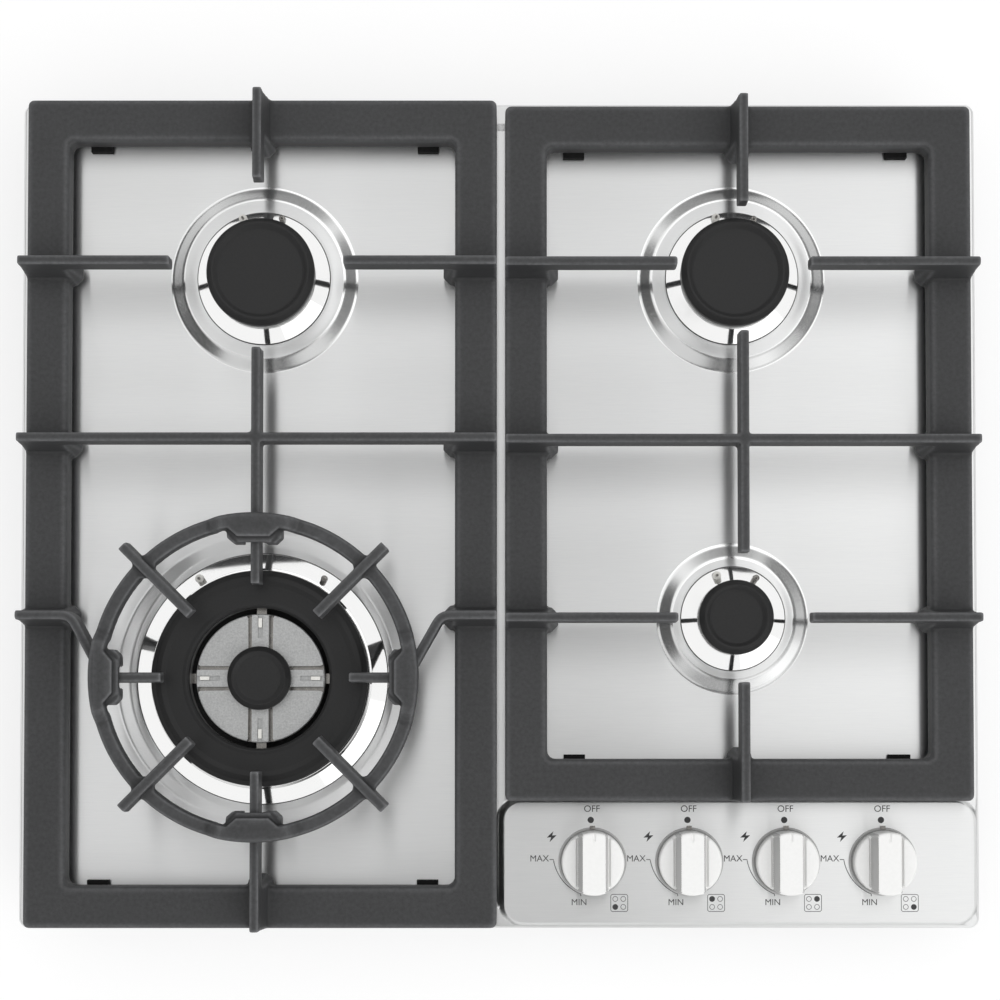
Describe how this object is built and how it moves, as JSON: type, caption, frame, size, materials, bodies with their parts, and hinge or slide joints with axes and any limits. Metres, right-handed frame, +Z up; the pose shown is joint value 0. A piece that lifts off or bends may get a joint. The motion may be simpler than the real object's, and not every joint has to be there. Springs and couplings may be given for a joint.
{
  "type": "gas cooktop",
  "caption": "Built-in stainless steel gas cooktop with lift-off cast-iron grates, a wok ring, capped burners and push-and-turn knobs on a raised control panel.",
  "frame": {"origin": "on the underside of the burner box, below the middle of the whole part's box", "axes": "+Z up out of the worktop, +X to the right as seen by the cook, +Y to the back; the knobs are at the front, -Y"},
  "size_m": [0.59, 0.51, 0.102],
  "materials": {
    "brushed_steel": "brushed along X",
    "polished_steel": "polished",
    "cast_iron": "matt grey enamel, slightly grained",
    "black_enamel": "satin black enamel",
    "cast_aluminium": "as cast, matt",
    "brass": "machined",
    "white_knob": "satin",
    "galvanised_steel": "zinc coated",
    "black_rubber": "matt",
    "foam_rubber": "closed-cell foam",
    "white_ceramic": "glazed",
    "copper_tube": "drawn tube",
    "igniter_plastic": "moulded"
  },
  "bodies": {
    "root": {"burner_box": "galvanised_steel", "manifold_pipe": "galvanised_steel", "gas_inlet": "brass", "igniter_module": "igniter_plastic", "supply_pipe_front_left": "copper_tube", "supply_pipe_back_left": "copper_tube", "supply_pipe_back_right": "copper_tube", "supply_pipe_front_right": "copper_tube", "clamp_left": "galvanised_steel", "clamp_right": "galvanised_steel", "rim_gasket": "foam_rubber", "deck_plate": "brushed_steel", "valve_body_1": "brass", "valve_body_2": "brass", "valve_body_3": "brass", "valve_body_4": "brass", "back_left_cup": "polished_steel", "back_left_electrode": "white_ceramic", "back_left_flame_sensor": "brass", "back_right_cup": "polished_steel", "back_right_electrode": "white_ceramic", "back_right_flame_sensor": "brass", "front_right_cup": "polished_steel", "front_right_electrode": "white_ceramic", "front_right_flame_sensor": "brass", "triple_cup": "polished_steel", "triple_electrode": "white_ceramic", "triple_flame_sensor": "brass"},
    "valve_rotor_1": {"valve_plug_1": "brass"},
    "knob_unit_1": {"valve_spindle_1": "polished_steel", "knob_1": "white_knob"},
    "valve_rotor_2": {"valve_plug_2": "brass"},
    "knob_unit_2": {"valve_spindle_2": "polished_steel", "knob_2": "white_knob"},
    "valve_rotor_3": {"valve_plug_3": "brass"},
    "knob_unit_3": {"valve_spindle_3": "polished_steel", "knob_3": "white_knob"},
    "valve_rotor_4": {"valve_plug_4": "brass"},
    "knob_unit_4": {"valve_spindle_4": "polished_steel", "knob_4": "white_knob"},
    "back_left_crown_body": {"back_left_crown": "cast_aluminium"},
    "back_left_cap_body": {"back_left_cap": "black_enamel"},
    "back_right_crown_body": {"back_right_crown": "cast_aluminium"},
    "back_right_cap_body": {"back_right_cap": "black_enamel"},
    "front_right_crown_body": {"front_right_crown": "cast_aluminium"},
    "front_right_cap_body": {"front_right_cap": "black_enamel"},
    "triple_crown_body": {"triple_crown": "cast_aluminium"},
    "triple_outer_cap_body": {"triple_outer_cap": "black_enamel"},
    "triple_inner_cap_body": {"triple_inner_cap": "black_enamel"},
    "grate_left_body": {"grate_left": "cast_iron", "grate_left_foot_back_left": "black_rubber", "grate_left_foot_back_right": "black_rubber", "grate_left_foot_front_left": "black_rubber", "grate_left_foot_front_right": "black_rubber"},
    "grate_right_body": {"grate_right": "cast_iron", "grate_right_foot_back_left": "black_rubber", "grate_right_foot_back_right": "black_rubber", "grate_right_foot_front_left": "black_rubber", "grate_right_foot_front_right": "black_rubber"},
    "wok_ring_body": {"wok_ring": "cast_iron"}
  },
  "joints": [
    {"name": "knob_1_turn", "type": "hinge", "parent": "root", "child": "valve_rotor_1", "pos_m": [0.05719, -0.214, 0.03], "axis": [0, 0, 1], "range_deg": [0, 163]},
    {"name": "knob_1_push", "type": "slide", "parent": "valve_rotor_1", "child": "knob_unit_1", "axis": [0, 0, -1], "range_m": [0, 0.003], "stiffness_N_per_m": 1500, "springref_m": -0.003},
    {"name": "knob_2_turn", "type": "hinge", "parent": "root", "child": "valve_rotor_2", "pos_m": [0.11646, -0.214, 0.03], "axis": [0, 0, 1], "range_deg": [0, 163]},
    {"name": "knob_2_push", "type": "slide", "parent": "valve_rotor_2", "child": "knob_unit_2", "axis": [0, 0, -1], "range_m": [0, 0.003], "stiffness_N_per_m": 1500, "springref_m": -0.003},
    {"name": "knob_3_turn", "type": "hinge", "parent": "root", "child": "valve_rotor_3", "pos_m": [0.17573, -0.214, 0.03], "axis": [0, 0, 1], "range_deg": [0, 163]},
    {"name": "knob_3_push", "type": "slide", "parent": "valve_rotor_3", "child": "knob_unit_3", "axis": [0, 0, -1], "range_m": [0, 0.003], "stiffness_N_per_m": 1500, "springref_m": -0.003},
    {"name": "knob_4_turn", "type": "hinge", "parent": "root", "child": "valve_rotor_4", "pos_m": [0.235, -0.214, 0.03], "axis": [0, 0, 1], "range_deg": [0, 163]},
    {"name": "knob_4_push", "type": "slide", "parent": "valve_rotor_4", "child": "knob_unit_4", "axis": [0, 0, -1], "range_m": [0, 0.003], "stiffness_N_per_m": 1500, "springref_m": -0.003},
    {"name": "grate_left_lift", "type": "slide", "parent": "root", "child": "grate_left_body", "axis": [0, 0, 1], "range_m": [0, 0.12]},
    {"name": "grate_right_lift", "type": "slide", "parent": "root", "child": "grate_right_body", "axis": [0, 0, 1], "range_m": [0, 0.12]},
    {"name": "wok_ring_lift", "type": "slide", "parent": "grate_left_body", "child": "wok_ring_body", "axis": [0, 0, 1], "range_m": [0, 0.08]},
    {"name": "back_left_crown_lift", "type": "slide", "parent": "root", "child": "back_left_crown_body", "axis": [0, 0, 1], "range_m": [0, 0.04]},
    {"name": "back_left_cap_lift", "type": "slide", "parent": "back_left_crown_body", "child": "back_left_cap_body", "axis": [0, 0, 1], "range_m": [0, 0.03]},
    {"name": "back_right_crown_lift", "type": "slide", "parent": "root", "child": "back_right_crown_body", "axis": [0, 0, 1], "range_m": [0, 0.04]},
    {"name": "back_right_cap_lift", "type": "slide", "parent": "back_right_crown_body", "child": "back_right_cap_body", "axis": [0, 0, 1], "range_m": [0, 0.03]},
    {"name": "front_right_crown_lift", "type": "slide", "parent": "root", "child": "front_right_crown_body", "axis": [0, 0, 1], "range_m": [0, 0.04]},
    {"name": "front_right_cap_lift", "type": "slide", "parent": "front_right_crown_body", "child": "front_right_cap_body", "axis": [0, 0, 1], "range_m": [0, 0.03]},
    {"name": "triple_crown_lift", "type": "slide", "parent": "root", "child": "triple_crown_body", "axis": [0, 0, 1], "range_m": [0, 0.006]},
    {"name": "triple_outer_cap_lift", "type": "slide", "parent": "triple_crown_body", "child": "triple_outer_cap_body", "axis": [0, 0, 1], "range_m": [0, 0.007]},
    {"name": "triple_inner_cap_lift", "type": "slide", "parent": "triple_crown_body", "child": "triple_inner_cap_body", "axis": [0, 0, 1], "range_m": [0, 0.03]}
  ]
}
